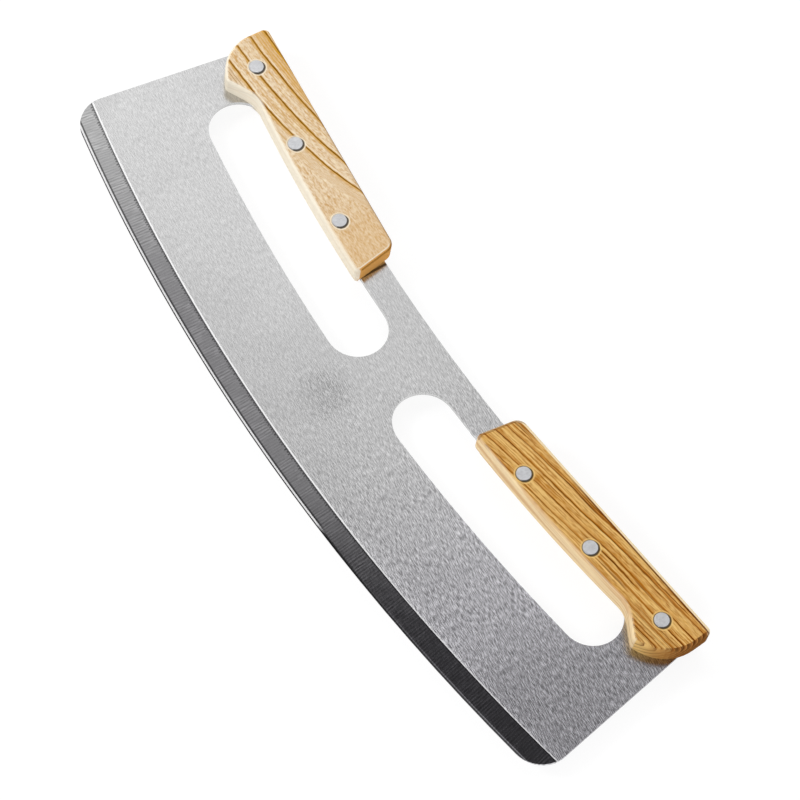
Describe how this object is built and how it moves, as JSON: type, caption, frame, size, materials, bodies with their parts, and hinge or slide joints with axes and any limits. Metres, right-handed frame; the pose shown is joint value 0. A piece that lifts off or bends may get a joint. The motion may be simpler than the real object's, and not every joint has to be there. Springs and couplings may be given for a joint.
{
  "type": "rocking pizza knife",
  "caption": "Wide curved steel blade with long finger slots and a riveted wooden grip at each end of its spine, rocked with both hands to cut pizza.",
  "frame": {"origin": "centre of the part's bounding box, on the plane of the rear scales that it lies on", "axes": "+X along the length towards the right-hand grip, +Y from the cutting edge towards the spine, +Z out of the front face with the large rivet heads"},
  "size_m": [0.3512, 0.1093, 0.0151],
  "materials": {
    "blade_steel": "brushed along the length, ground bevel with grind lines across it",
    "wood_left": "pale honey wood with a few dark slanting grain lines, satin",
    "wood_right": "warmer orange-brown wood with straight dark grain, satin",
    "rivet_metal": "fine satin, flat ground heads"
  },
  "bodies": {
    "root": {"blade": "blade_steel", "scale_front_left": "wood_left", "scale_rear_left": "wood_left", "scale_front_right": "wood_right", "scale_rear_right": "wood_right", "pin_left_inner": "rivet_metal", "sleeve_left_inner": "rivet_metal", "pin_left_middle": "rivet_metal", "sleeve_left_middle": "rivet_metal", "pin_left_outer": "rivet_metal", "sleeve_left_outer": "rivet_metal", "pin_right_inner": "rivet_metal", "sleeve_right_inner": "rivet_metal", "pin_right_middle": "rivet_metal", "sleeve_right_middle": "rivet_metal", "pin_right_outer": "rivet_metal", "sleeve_right_outer": "rivet_metal"}
  },
  "joints": []
}
